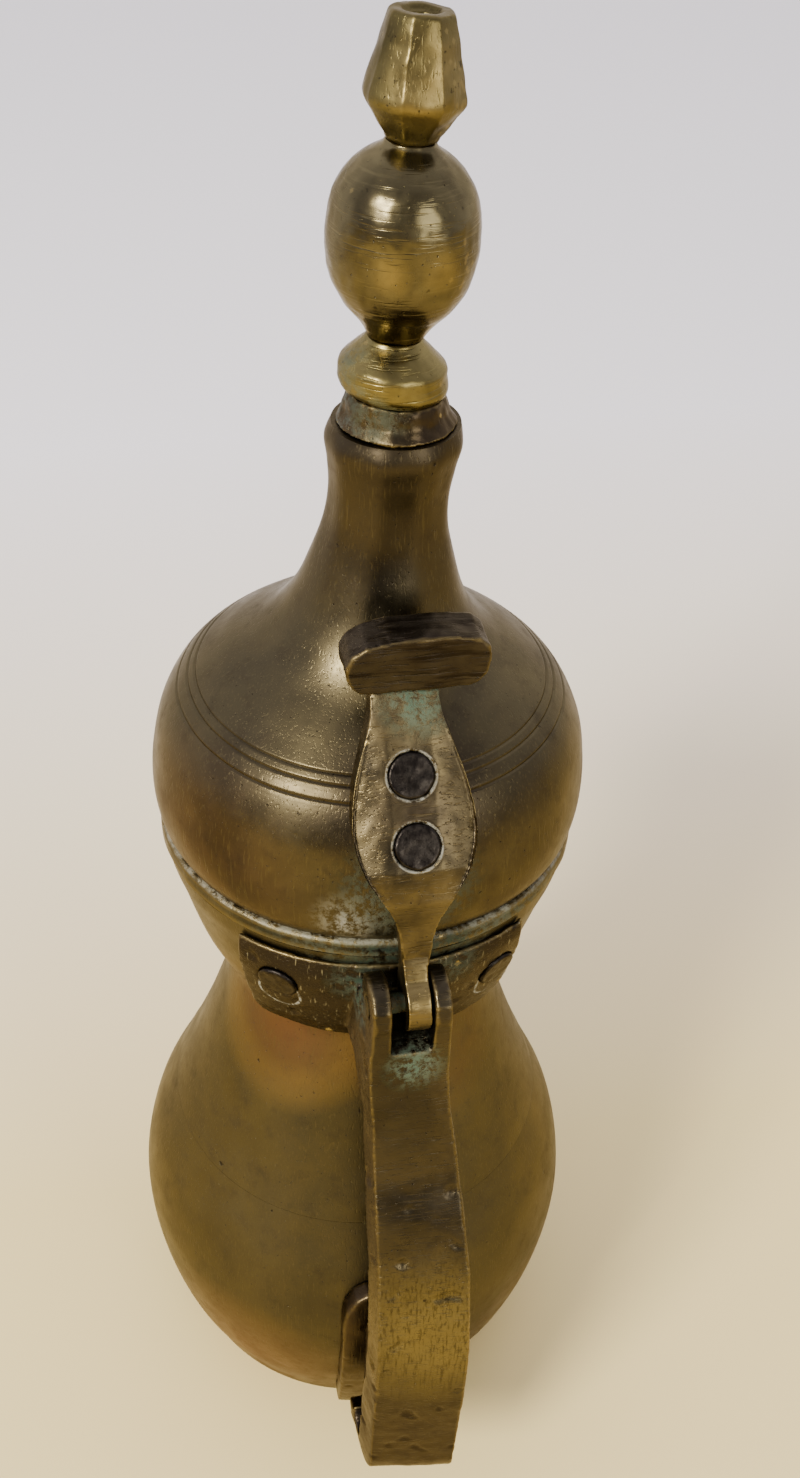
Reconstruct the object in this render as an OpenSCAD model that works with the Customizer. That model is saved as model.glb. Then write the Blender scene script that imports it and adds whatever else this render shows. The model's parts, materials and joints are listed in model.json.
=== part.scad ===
// Dallah: a spouted coffee pot with a waisted body, a tall hinged lid and a cast strap handle.
// The origin is the centre of the base on the table, +Z is up, +X points to the spout
// and -X to the handle. The hinge axis lies along Y. Millimetres.

/* [Pot] */
// Height of the mouth above the table
rim_z = 140; // [139:0.5:142]
// Outer radius of the ring round the mouth
rim_r = 36; // [35.6:0.1:36.4]
// Thickness of the raised sheet of the pot and the lid
sheet = 1.2; // [0.8:0.1:1.4]
// Height of the brazed seam between the lower and the upper body
seam_z = 64; // [62:1:66]

/* [Lid] */
// Gap between the closed lid and the mouth ring
lid_gap = 0.25; // [0.2:0.05:0.4]
// Angle that the finial leans to one side
finial_lean = 3.5; // [0:0.5:4]
// Depth that the locating skirt reaches into the mouth
skirt_depth = 4; // [2:0.5:5]

/* [Hinge] */
// Distance of the hinge axis from the pot's own axis
pin_x = 43.5; // [43.3:0.1:44]
// Depth of the hinge axis below the mouth
pin_drop = 5; // [4:0.5:5.5]
// Radius of the hinge pin
pin_r = 1.6; // [1.2:0.1:2]
// Width of the slot between the two cheeks of the clevis
slot_w = 6.6; // [6.2:0.1:7]
// Thickness of the leaf-shaped hinge strap
leaf_t = 3.1; // [2.6:0.1:3.4]

/* [Handle] */
// Thickness of the handle strap under the clevis
strap_t = 4.4; // [3.8:0.1:4.8]
// Thickness of the handle strap above its lowest turn
grip_t = 5.8; // [5:0.1:6.2]
// Width of the handle at the clevis
clevis_w = 12.6; // [12:0.1:13.4]
// Width of the handle at its lowest turn
grip_w = 17.8; // [16.5:0.1:19]
// Radial thickness of the two arms that clasp the waist
arm_t = 2.7; // [2.5:0.1:3]
// Angle that the arms span round the waist
arm_span = 81; // [80:1:86]

/* [Rivets] */
// Radius of the visible rivet heads
head_r = 3.6; // [3.2:0.1:3.8]
// Radius of the rivet shanks
shank_r = 2.2; // [1.8:0.1:2.4]

/* [Hidden] */
$fn = 96;

fit = 0.05;              // clearance between brazed or riveted pieces
wide = 80;               // longer than any piece that it cuts or keeps
ring_h = 3.2;            // height of the ring round the mouth
ring_t = 1.9;            // its radial thickness
plate_t = 1.5;           // thickness of the base plate
burr_t = 0.9;            // thickness of the washers that the rivets are peened over
peen = 0.7;              // height of a peened rivet end
rivet_depth = 2.6;       // depth of a countersunk rivet head

// ---- Curves ----
// A smooth curve through points, with n steps between each two.
function spline_point(p, i, t) = let (
        a = p[max(i - 1, 0)], b = p[i], c = p[i + 1], d = p[min(i + 2, len(p) - 1)])
    0.5 * (2 * b + (c - a) * t + (2 * a - 5 * b + 4 * c - d) * t * t + (3 * b - a - 3 * c + d) * t * t * t);
function spline(p, n = 5) =
    [for (i = [0 : len(p) - 2]) for (k = [0 : n - 1]) spline_point(p, i, k / n), p[len(p) - 1]];
function arc(cx, cz, r, from, to, n) =
    [for (k = [0 : n]) let (a = from + (to - from) * k / n) [cx + r * cos(a), cz + r * sin(a)]];
function reversed(p) = [for (i = [len(p) - 1 : -1 : 0]) p[i]];
function unit(v) = v / norm(v);
function left_normal(p, i) = let (d = unit(p[min(i + 1, len(p) - 1)] - p[max(i - 1, 0)])) [-d[1], d[0]];
// The same curve a distance to its left, from t to t2 along it, with square ends.
function beside(p, t, t2) = let (u = is_undef(t2) ? t : t2)
    [for (i = [0 : len(p) - 1]) p[i] + (t + (u - t) * min(1, 1.4 * i / len(p))) * left_normal(p, i)];
// A sheet of thickness t inside a profile that runs upwards, with level ends.
function sheet_outline(p, t) = let (q = beside(p, t), last = len(p) - 1,
        first_in = p[0] - [t / abs(left_normal(p, 0)[0]), 0],
        last_in = p[last] - [t / abs(left_normal(p, last)[0]), 0])
    concat(p, [last_in], [for (i = [last - 1 : -1 : 1]) q[i]], [first_in]);
// Radius of a profile at height z, and the stretch of it between two heights.
function radius_at(p, z) = lookup(z, [for (v = p) [v[1], v[0]]]);
function stretch(p, z0, z1) =
    concat([[radius_at(p, z0), z0]], [for (v = p) if (v[1] > z0 && v[1] < z1) v], [[radius_at(p, z1), z1]]);

// ---- Profiles: [radius, height] ----
pot_profile = spline([[37, 0], [38.4, 4.5], [40.9, 12], [43.2, 22], [44.5, 32], [44.3, 41], [41.9, 52.5],
    [36.9, 64], [32.3, 75.5], [28.7, 86], [26, 94.5], [24.4, 102.5], [25.3, 107], [27.9, 111.5],
    [30.2, 116.5], [32, 122.5], [33.5, 128.5], [34.8, 133], [rim_r - 0.4, rim_z - ring_h]]);
pin_z = rim_z - pin_drop;
lid_profile = [for (v = spline([[35, lid_gap], [36.2, 3], [36.7, 8], [36.3, 13], [34.8, 19.5], [31.2, 25.7],
    [25, 31], [19.6, 34.8], [16, 38.6], [13.4, 43], [11.4, 48.5], [9.6, 55], [9.1, 60.5], [9.6, 65.5],
    [10.2, 69], [9.5, 71.6]])) v + [0, rim_z]];
spire_top = rim_z + 71.6;
cap_top = rim_z + 76.2;
collar_top = rim_z + 84.6;
ball_top = rim_z + 110.8;
crest_top = rim_z + 126;

// ---- Places on the hinge strap ----
// The leaf is a flat plate on the dome: u runs up it, w is the distance along its normal.
leaf_slope = 53.8;                                     // angle of the leaf above level
leaf_normal = [-sin(leaf_slope), cos(leaf_slope)];
leaf_in = 40.6;                                        // distance of its inner face from the mouth's centre
function on_leaf(u, w) = [0, rim_z] + w * leaf_normal + u * [cos(leaf_slope), sin(leaf_slope)];
strap_rivet_u = [6.2, -4.3];
leaf_top_z = rim_z + 41.2;                             // level top of the leaf, where the thumb piece sits
knuckle_r = 4.6;                                       // radius of the strap's knuckle round the pin
cheek_r = 5.2;                                         // radius of the clevis's cheeks round the pin

// ---- Places on the pot ----
arm_z0 = 112;                                          // bottom and top of the arms
arm_z1 = 135.2;
arm_middle = -5;                                       // angle of the arms' middle from the hinge's plane
arm_rivet_places = [[-34, 127], [28.5, 125.5]];        // [angle, height]
flare_tilt = 14;                                       // the flare's normal points this far below level
tail_z0 = 6.5;                                         // bottom and top of the tail plate
tail_z1 = 52.5;
tail_rivet_z = [46, 35.5];
turn_r = 9.2;                                          // outer radius of the handle's lowest turn
turn_x = -57.6;                                        // its centre
turn_z = 30;
tail_top = 50;                                         // top of the handle's tail on the belly
tail_half_w = 6.4;                                     // half the width of the tail
strap_back = turn_x + turn_r;                          // face of the tail that looks at the belly
handle_face = concat(
    spline([[-48.2, 138], [-48.6, 126], [-52.8, 106], [-58.6, 94], [-63.2, 82], [-66.2, 68],
        [-67.2, 54], [turn_x - turn_r - 0.1, 40], [turn_x - turn_r, turn_z + 3]]),
    arc(turn_x, turn_z, turn_r, 180, 360, 16), [[strap_back, tail_top]]);

// ---- Helpers ----
module revolve(points) { rotate_extrude() polygon(points); }
// Extrudes an outline drawn in X and Z along Y, centred.
module side_extrude(width, points) {
    rotate([90, 0, 0]) linear_extrude(width, center = true) polygon(points);
}
// Keeps what lies between a right and a left side that are given at heights, [right, left, height].
module keep_between(sides) {
    intersection() {
        children();
        translate([-wide, 0, 0]) rotate([90, 0, 90]) linear_extrude(wide)
            polygon(concat([for (v = sides) [v[1], v[2]]], reversed([for (v = sides) [-v[0], v[2]]])));
    }
}
// Keeps what lies within a half-width that is given at heights, [half width, height].
module keep_width(half) {
    keep_between([for (v = half) [v[0], v[0], v[1]]]) children();
}
// A rivet along +Z with a countersunk head, its face at the origin, and its end peened over a washer.
module rivet(depth, length) {
    revolve([[0, -length - peen], [shank_r - 0.3, -length - peen], [shank_r + 0.7, -length - 0.2],
        [shank_r + 0.7, -length], [shank_r, -length], [shank_r, -depth], [head_r, -0.5], [head_r - 0.3, 0], [0, 0]]);
}
// The space that such a rivet's head and shank need, with a clearance.
module rivet_hole(depth, length) {
    revolve([[0, -length], [shank_r + fit, -length], [shank_r + fit, -depth], [head_r + fit, -0.5],
        [head_r + fit, 3], [0, 3]]);
}
module washer() {
    difference() {
        cylinder(h = burr_t, r = head_r + 0.6);
        translate([0, 0, -1]) cylinder(h = burr_t + 2, r = shank_r + fit);
    }
}
// Turns a child's +Z to point outwards from the pot's axis at an angle from the handle, and
// downwards by a tilt.
module outwards(angle, r, z, tilt = 0) {
    rotate([0, 0, 180 + angle]) translate([r, 0, z]) rotate([0, 90 + tilt, 0]) children();
}
// Places a child on the leaf with its +Z along the leaf's normal.
module at_leaf(u, w) {
    p = on_leaf(u, w);
    translate([p[0], 0, p[1]]) rotate([0, -leaf_slope, 0]) children();
}

// ---- Pot ----
module base_plate() {
    color("peru") cylinder(h = plate_t, r = pot_profile[0][0] - 1.35 * sheet);
}

module lower_body() {
    color("darkgoldenrod") difference() {
        revolve(sheet_outline(stretch(pot_profile, 0, seam_z - fit / 2), sheet));
        for (z = tail_rivet_z) outwards(0, 30, z) cylinder(h = 20, r = shank_r + fit);
    }
}

strainer_rows = [[112, 3], [117, 4], [122, 5], [127, 4]];   // [height, holes]
strainer_pitch = 4.2;
strainer_hole_r = 1.4;
module upper_body() {
    top = pot_profile[len(pot_profile) - 1][1];
    color("darkgoldenrod") difference() {
        revolve(sheet_outline(stretch(pot_profile, seam_z + fit / 2, top), sheet));
        for (row = strainer_rows) for (k = [0 : row[1] - 1])
            translate([15, (k - (row[1] - 1) / 2) * strainer_pitch, row[0]])
                rotate([0, 90, 0]) cylinder(h = 25, r = strainer_hole_r);
        at_arm_rivets(-12) cylinder(h = 15, r = shank_r + fit);
    }
}

module mouth_ring() {
    color("dimgray") revolve([[rim_r - ring_t, rim_z - ring_h], [rim_r - 0.5, rim_z - ring_h],
        [rim_r, rim_z - ring_h + 0.5], [rim_r, rim_z - 0.5], [rim_r - 0.5, rim_z], [rim_r - ring_t, rim_z]]);
}

// The beak is an open channel. Its sections stand across X, from inside the wall to the tip.
// spout_keel is its lowest line, [x, z].
spout_keel = spline([[20, 96], [34, 100.5], [46, 107], [57, 116], [66, 127], [72, 138]], 4);
spout_tip_x = 72;
spout_root_x = 20;
spout_half_w = 13;
spout_top_z = 136;
spout_steps = 20;
spout_sides = 12;
function spout_half(x) = 0.9 + spout_half_w * pow(1 - (x - spout_root_x) / (spout_tip_x - spout_root_x + 0.01), 0.75);
function spout_rim(x) = spout_top_z + 3 * pow(max(0, x - rim_r) / (spout_tip_x - rim_r), 1.5);
function spout_section(x, inset) = let (top = spout_rim(x), bottom = min(lookup(x, spout_keel) + 1.4 * inset, top - 0.6),
        half = max(spout_half(x) - inset, 0.25))
    [for (k = [0 : spout_sides]) let (a = 180 * k / spout_sides)
        [x, half * sign(cos(a)) * pow(abs(cos(a)), 1.25), top - (top - bottom) * sin(a)]];
module spout_shape() {
    xs = [for (k = [0 : spout_steps]) spout_root_x + (spout_tip_x - spout_root_x) * k / spout_steps];
    rings = [for (x = xs) concat(spout_section(x, 0), reversed(spout_section(x, sheet)))];
    count = len(rings[0]);
    sides = [for (i = [0 : spout_steps - 1]) for (k = [0 : count - 1]) let (a = i * count + k,
        b = i * count + (k + 1) % count, c = (i + 1) * count + (k + 1) % count, d = (i + 1) * count + k)
        each [[a, b, c], [a, c, d]]];
    end_quads = function (first) [for (k = [0 : spout_sides - 1])
        [first + k, first + k + 1, first + count - 2 - k, first + count - 1 - k]];
    polyhedron([for (r = rings) each r], concat(sides,
        [for (q = end_quads(0)) each [[q[0], q[3], q[2]], [q[0], q[2], q[1]]]],
        [for (q = end_quads(spout_steps * count)) each [[q[0], q[1], q[2]], [q[0], q[2], q[3]]]]));
}
module spout() {
    color("darkgoldenrod") difference() {
        spout_shape();
        revolve(concat([[0, 80]], stretch([for (v = pot_profile) v + [fit, 0]], 80, rim_z - ring_h),
            [[0, rim_z - ring_h]]));
        translate([0, 0, rim_z - ring_h - 0.01]) cylinder(h = 10, r = rim_r + 0.1);
    }
}

// The arms are plates that stand close to upright, from the waist to the ring, and thin out upwards.
arm_face = [for (v = [[arm_z0, 0], [116.5, 0], [122.5, 0], [128.5, -0.2], [132, -0.8], [arm_z1, -1.8]])
    [radius_at(pot_profile, v[0]) + arm_t + v[1], v[0]]];
arm_inner_r = radius_at(pot_profile, arm_z0) - 1;
module arms() {
    rotate([0, 0, 180 + arm_middle - arm_span / 2]) rotate_extrude(angle = arm_span)
        polygon(concat(arm_face, [[arm_inner_r, arm_z1], [arm_inner_r, arm_z0]]));
}
clevis_middle = 1.6;                                   // the clevis and its slot stand off the hinge's middle
slot_middle = 1.4;
slot_floor = pin_z - 6.8;                              // bottom of the slot
// The handle's right and left sides at each height: [right, left, height].
handle_sides = [[grip_w / 2 - 0.6, grip_w / 2 + 0.6, 0], [grip_w / 2 - 0.6, grip_w / 2 + 0.5, 46],
    [grip_w / 2 - 0.3, grip_w / 2, 70], [grip_w / 2 - 0.4, grip_w / 2 - 0.1, 86], [8, 8.8, 94], [7.1, 8.6, 106],
    [5.6, 8.6, 116], [clevis_w / 2 - clevis_middle + 0.2, 8.4, 123],
    [clevis_w / 2 - clevis_middle, clevis_w / 2 + clevis_middle, 130],
    [clevis_w / 2 - clevis_middle, clevis_w / 2 + clevis_middle, 160]];
module handle() {
    color("olive") difference() {
        union() {
            keep_between(handle_sides)
                union() {
                    side_extrude(grip_w + 2, concat(handle_face, reversed(beside(handle_face, strap_t, grip_t))));
                    side_extrude(grip_w + 2, [[-31, 116], [-38, 117.5], [-44, 114.5], [-49.5, 112], [-48.4, 126],
                        [-pin_x - cheek_r + 0.3, pin_z], [-pin_x + cheek_r, pin_z], [-37.4, 131.5], [-33, 131]]);
                    along_pin(grip_w + 2, cheek_r);
                }
            arms();
        }
        translate([-wide - 37.2, slot_middle - slot_w / 2, slot_floor]) cube([wide, slot_w, 20]);
        along_pin(wide, pin_r + 0.01);
        revolve(concat([[0, 90]], [for (v = stretch(pot_profile, 90, rim_z - ring_h)) v + [2 * fit, 0]],
            [[0, rim_z - ring_h]]));
        for (s = [-1, 1]) translate([0, s * (tail_half_w + 10), 0])
            side_extrude(20, [[turn_x + 3.4, 60], [turn_x + 3.4, 27], [strap_back + 2, 23], [strap_back + 2, 60]]);
        at_arm_rivets(0) rivet_hole(rivet_depth, 7);
        for (z = tail_rivet_z) outwards(0, tail_rivet_x, z) rivet_hole(rivet_depth, 9);
    }
}

arm_burr_w = -5.3;                                     // inner face of the washers, from the rivet's face
module at_arm_rivets(w) {
    for (p = arm_rivet_places) outwards(p[0], radius_at(arm_face, p[1]) + 0.3, p[1], flare_tilt)
        translate([0, 0, w]) children();
}
module arm_rivets() {
    color("#3a2c28") at_arm_rivets(0) rivet(rivet_depth, -arm_burr_w);
}
module arm_burrs() {
    color("peru") at_arm_rivets(arm_burr_w) washer();
}

// The tail plate is a spatula of thick sheet that spreads the handle's lower joint over the belly.
tail_t = 3.6;
tail_half = [[9.2, tail_z0 - 1], [9.2, tail_z0], [10, tail_z0 + 0.8], [10.5, 30], [10.3, tail_z1 - 8],
    [9.6, tail_z1 - 4.5], [7.6, tail_z1 - 1.2], [5.5, tail_z1], [5.5, tail_z1 + 1]];
module tail_plate() {
    inner = [for (v = stretch(pot_profile, tail_z0, tail_z1)) v + [2 * fit, 0]];
    color("olive") difference() {
        keep_width(tail_half)
            rotate([0, 0, 160]) rotate_extrude(angle = 40)
                polygon(concat([for (v = inner) v + [tail_t, 0]], reversed(inner)));
        for (z = tail_rivet_z) outwards(0, 30, z) cylinder(h = 30, r = shank_r + fit);
    }
}
tail_rivet_x = -strap_back + grip_t + 0.15;
function tail_burr_r(z) = radius_at(pot_profile, z + 4) - sheet - burr_t - 0.5;
module tail_rivets() {
    color("#3a2c28") for (z = tail_rivet_z)
        outwards(0, tail_rivet_x, z) rivet(rivet_depth, tail_rivet_x - tail_burr_r(z));
}
module tail_burrs() {
    color("peru") for (z = tail_rivet_z) outwards(0, tail_burr_r(z), z) washer();
}

// A bar along the hinge axis, centred on the clevis.
module along_pin(length, r) {
    translate([-pin_x, clevis_middle, pin_z]) rotate([90, 0, 0]) cylinder(h = length, r = r, center = true);
}
module hinge_pin() {
    color("olive") along_pin(clevis_w - 0.1, pin_r);
}

// ---- Lid ----
module lid_dome() {
    color("darkgoldenrod") difference() {
        revolve(sheet_outline(lid_profile, sheet));
        for (u = strap_rivet_u) at_leaf(u, leaf_in - 12) cylinder(h = 16, r = shank_r + fit);
    }
}

module lid_skirt() {
    r = rim_r - ring_t - 1.5;
    inner = r - 1;
    color("darkgoldenrod") revolve([[inner, rim_z - skirt_depth], [r, rim_z - skirt_depth], [r, rim_z + 0.6],
        [radius_at(lid_profile, rim_z + 1) - 1.5 * sheet, rim_z + 1],
        [radius_at(lid_profile, rim_z + 1.8) - 1.5 * sheet, rim_z + 1.8], [inner, rim_z + 1.8]]);
}

rod_r = 1.5;                                           // radius of the rod through the finial
// The finial stands at a slight lean on the spire's cap.
module leaning() {
    translate([0, 0, cap_top]) rotate([finial_lean, 0, 0]) translate([0, 0, -cap_top]) children();
}
module spire_cap() {
    plug_r = lid_profile[len(lid_profile) - 1][0] - 2 * sheet - fit;
    color("rosybrown") difference() {
        revolve([[0, spire_top - 1.8], [plug_r, spire_top - 1.8], [plug_r, spire_top + fit], [9.1, spire_top + fit],
            [7.7, spire_top + 1.9], [6.9, cap_top + 0.5], [0, cap_top + 0.5]]);
        leaning() translate([0, 0, spire_top - 5]) cylinder(h = 20, r = rod_r + fit);
        leaning() translate([0, 0, cap_top]) cylinder(h = 5, r = 12);
    }
}

module turned(points) {
    leaning() difference() {
        revolve(concat([[0, points[0][1]]], points, [[0, points[len(points) - 1][1]]]));
        translate([0, 0, cap_top - 1]) cylinder(h = 60, r = rod_r + fit);
    }
}
module finial_collar() {
    color("goldenrod") turned(concat([[6.9, cap_top + fit], [7.6, cap_top + 1], [7.8, cap_top + 1.6],
        [7.8, cap_top + 4.2]], spline([[7.5, cap_top + 4.8], [5.9, cap_top + 6.4], [4.5, cap_top + 7.6],
        [4, collar_top]], 4)));
}
module finial_ball() {
    z = collar_top + fit;
    color("goldenrod") turned(spline([[4.05, z], [5.3, z + 2.2], [7.8, z + 4.9], [9.5, z + 7.9], [10.3, z + 11.4],
        [10.4, z + 15], [9.9, z + 18.4], [8.6, z + 21.4], [6.3, z + 23.9], [3.7, ball_top - 0.6], [3.5, ball_top]], 4));
}
module finial_crest() {
    z = ball_top + fit;
    color("goldenrod") turned([[3.5, z], [3.7, z + 0.7], [6.3, z + 4.3], [6.65, z + 5], [6.6, z + 5.8],
        [4.3, crest_top - 0.5], [4, crest_top], [2.6, crest_top], [2.3, crest_top - 0.6]]);
}
cap_plug = 2.1;                                        // from the spire's top down to the rod's washer
module finial_rod() {
    foot = spire_top - cap_plug - burr_t - fit;
    color("peru") leaning() union() {
        translate([0, 0, foot - 0.8]) cylinder(h = 0.8, r1 = rod_r - 0.2, r2 = rod_r + 0.8);
        translate([0, 0, foot]) cylinder(h = crest_top - 0.9 - foot, r = rod_r);
    }
}
module rod_burr() {
    color("peru") leaning() translate([0, 0, spire_top - cap_plug - burr_t - fit / 2]) difference() {
        cylinder(h = burr_t, r = 4.6);
        translate([0, 0, -1]) cylinder(h = burr_t + 2, r = rod_r + fit);
    }
}

// The hinge strap: a leaf on the dome whose stem turns down to the knuckle in the clevis.
leaf_top_u = 20.6;
// Half of the leaf's width at each height: [half width, height].
leaf_half = spline([[2.3, rim_z + 3.5], [2.9, rim_z + 8], [4.7, rim_z + 13.2], [7.8, rim_z + 18.6],
    [9.3, rim_z + 23.2], [8.7, rim_z + 28.6], [7, rim_z + 33.4], [5.3, rim_z + 38], [5.1, rim_z + 43]], 4);
tongue_sides = [1.6, 2.2];                             // how far the knuckle reaches right and left
module leaf_blank() {
    outer = [on_leaf(leaf_top_u, leaf_in + leaf_t), on_leaf(-8, leaf_in + leaf_t), [-41.6, rim_z + 14],
        [-41.3, rim_z + 9], [-42, rim_z + 3], [-pin_x - 0.6, pin_z + knuckle_r - 0.1]];
    inner = [[-pin_x + knuckle_r - 0.1, pin_z], [-38.6, rim_z + 1.5], [-37.4, rim_z + 6], [-37.2, rim_z + 13],
        on_leaf(-6, leaf_in), on_leaf(leaf_top_u, leaf_in)];
    keep_between(concat([for (z = [rim_z - 14, rim_z + 1]) [tongue_sides[0], tongue_sides[1], z]],
            [for (v = leaf_half) [v[0], v[0], v[1]]]))
        union() {
            side_extrude(20, concat(outer, [[-pin_x, pin_z]], inner));
            along_pin(30, knuckle_r);
        }
}
module hinge_strap() {
    color("olive") difference() {
        leaf_blank();
        revolve(concat([[0, rim_z + 1]], [for (v = stretch(lid_profile, rim_z + 1, rim_z + 45)) v + [2 * fit, 0]],
            [[0, rim_z + 45]]));
        translate([-wide / 2, -20, leaf_top_z]) cube([wide, 40, 20]);
        along_pin(wide, pin_r + fit);
        for (u = strap_rivet_u) at_leaf(u, strap_rivet_w) rivet_hole(strap_depth, 9);
    }
}

thumb_z = leaf_top_z + fit;
thumb_x = -25.4;                                       // front of the thumb piece
thumb_depth = 7;                                       // from its front to its back
// Its outline, [to the left, up], from the middle of its foot.
thumb_outline = [[6.8, 0], [8, 1.2], [8.8, 3], [8.9, 5], [8, 6.9], [6, 8.2], [2.4, 9], [-2, 9.2], [-7, 9.1],
    [-10.6, 8.4], [-12.2, 7], [-12.4, 4.8], [-12, 2.4], [-10.8, 0.7], [-9.4, 0]];
module thumb_piece() {
    color("saddlebrown") translate([thumb_x, 0, thumb_z]) rotate([90, 0, 90]) linear_extrude(thumb_depth)
        polygon(thumb_outline);
}

strap_rivet_w = leaf_in + leaf_t + 0.15;
strap_depth = 2.4;                                         // depth of a countersunk head in the leaf
strap_burr_w = leaf_in - 2.8 - sheet - burr_t;             // outer face of the washers inside the dome
module strap_rivets() {
    color("#33302e") for (u = strap_rivet_u)
        at_leaf(u, strap_rivet_w) rivet(strap_depth, strap_rivet_w - strap_burr_w);
}
module strap_burrs() {
    color("peru") for (u = strap_rivet_u) at_leaf(u, strap_burr_w) washer();
}

base_plate();
lower_body();
upper_body();
mouth_ring();
spout();
handle();
arm_rivets();
arm_burrs();
tail_plate();
tail_rivets();
tail_burrs();
hinge_pin();
lid_dome();
lid_skirt();
spire_cap();
finial_collar();
finial_ball();
finial_crest();
finial_rod();
rod_burr();
hinge_strap();
thumb_piece();
strap_rivets();
strap_burrs();
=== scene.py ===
"""Looks of the dallah: dense, hand-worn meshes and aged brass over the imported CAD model.

Lengths are in metres. mm() and MM turn millimetres into metres.
"""
import json
import math

import bmesh
import bpy
from mathutils import Matrix, Vector, noise
from mathutils.kdtree import KDTree


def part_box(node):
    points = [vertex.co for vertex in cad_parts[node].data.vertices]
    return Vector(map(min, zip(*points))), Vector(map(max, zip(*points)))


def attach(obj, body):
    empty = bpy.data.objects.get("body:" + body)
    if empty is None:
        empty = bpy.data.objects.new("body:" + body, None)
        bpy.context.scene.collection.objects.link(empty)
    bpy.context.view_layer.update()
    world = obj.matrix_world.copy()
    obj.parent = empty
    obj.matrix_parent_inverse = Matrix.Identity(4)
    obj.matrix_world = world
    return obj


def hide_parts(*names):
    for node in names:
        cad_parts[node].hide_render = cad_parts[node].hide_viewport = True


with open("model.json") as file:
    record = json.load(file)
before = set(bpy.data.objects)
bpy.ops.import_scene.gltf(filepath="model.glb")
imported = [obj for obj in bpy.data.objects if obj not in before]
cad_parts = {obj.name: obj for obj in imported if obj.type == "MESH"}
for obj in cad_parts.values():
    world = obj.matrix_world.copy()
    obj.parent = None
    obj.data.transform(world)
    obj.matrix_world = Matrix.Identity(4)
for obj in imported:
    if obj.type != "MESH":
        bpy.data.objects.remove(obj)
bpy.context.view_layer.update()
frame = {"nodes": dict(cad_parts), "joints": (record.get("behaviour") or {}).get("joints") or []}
NODES = frame["nodes"]
MM = 0.001


def mm(x, y, z):
    """A point or a step, from millimetres."""
    return Vector((x * MM, y * MM, z * MM))


# ---- Places, from the frame ----
def middle(node):
    low_corner, high_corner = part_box(node)
    return (low_corner + high_corner) / 2


HINGE = Vector(frame["joints"][0]["pos_m"])
BAND_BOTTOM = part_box("mouth_ring")[0].z
RIM_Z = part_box("mouth_ring")[1].z
RIM_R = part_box("mouth_ring")[1].x
SEAM_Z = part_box("lower_body")[1].z
CAP_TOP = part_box("finial_collar")[0].z
BALL = middle("finial_ball")
COLLAR = middle("finial_collar")
CREST = middle("finial_crest")
SHEET = 1.2 * MM                        # thickness of the pot's and the lid's sheet
LEAF_SLOPE = math.radians(53.8)         # the hinge strap's leaf, above level
LEAF_NORMAL = Vector((-math.sin(LEAF_SLOPE), 0, math.cos(LEAF_SLOPE)))


def above_rim(x, y, z):
    """A point whose height is given from the rim, from millimetres."""
    return mm(x, y, z) + Vector((0, 0, RIM_Z))


def below_cap_top(x, y, depth):
    """A point on the spire's cap, its depth below the finial's foot, from millimetres."""
    return mm(x, y, -depth) + Vector((0, 0, CAP_TOP))


def parts_of(node):
    """The points of each of a node's separate solids, such as the two rivets of a pair."""
    bm = bmesh.new()
    bm.from_mesh(NODES[node].data)
    bmesh.ops.remove_doubles(bm, verts=bm.verts, dist=0.001 * MM)
    seen, groups = set(), []
    for first in bm.verts:
        if first in seen:
            continue
        seen.add(first)
        stack, group = [first], []
        while stack:
            v = stack.pop()
            group.append(v.co.copy())
            for e in v.link_edges:
                other = e.other_vert(v)
                if other not in seen:
                    seen.add(other)
                    stack.append(other)
        groups.append(group)
    bm.free()
    return groups


def face_of(points, direction):
    """Middle of the points that lie furthest along a direction: a rivet's outer face."""
    same = 0.05 * MM
    furthest = max(p.dot(direction) for p in points)
    face = [p for p in points if p.dot(direction) > furthest - same]
    return sum(face, Vector()) / len(face)


def below_outwards(point):
    """The way an arm's rivet faces: away from the pot's axis, and down by half as much."""
    return Vector((point.x, point.y, -0.5 * point.xy.length)).normalized()


# ---- Camera, at the photograph's angle ----
def make_camera():
    """The camera looks down at the handle from a little to its left, with a slight roll."""
    data = bpy.data.cameras.new("camera")
    data.sensor_width = 36.0
    data.lens = 35.3
    data.shift_x = 0.0216
    data.clip_start, data.clip_end = 0.01, 20
    cam = bpy.data.objects.new("camera", data)
    azimuth, pitch, roll = math.radians(12), math.radians(39.33), math.radians(2.16)
    distance, height = 0.1909, RIM_Z + 0.1685       # from the pot's axis, and above the floor
    place = Vector((-distance * math.cos(azimuth), distance * math.sin(azimuth), height))
    forward = Vector((math.cos(azimuth) * math.cos(pitch), -math.sin(azimuth) * math.cos(pitch),
                      -math.sin(pitch)))
    look = forward.to_track_quat("-Z", "Y").to_matrix().to_4x4()
    cam.matrix_world = Matrix.Translation(place) @ look @ Matrix.Rotation(roll, 4, "Z")
    bpy.context.scene.collection.objects.link(cam)
    bpy.context.scene.camera = cam


# ---- Floor and light ----
def area_light(name, place, aim, size, watts, colour):
    data = bpy.data.lights.new(name, "AREA")
    data.shape, data.size, data.energy, data.color = "DISK", size, watts, colour
    light = bpy.data.objects.new(name, data)
    direction = Vector(aim) - Vector(place)
    turn = direction.to_track_quat("-Z", "Y").to_matrix().to_4x4()
    light.matrix_world = Matrix.Translation(place) @ turn
    bpy.context.scene.collection.objects.link(light)


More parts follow.
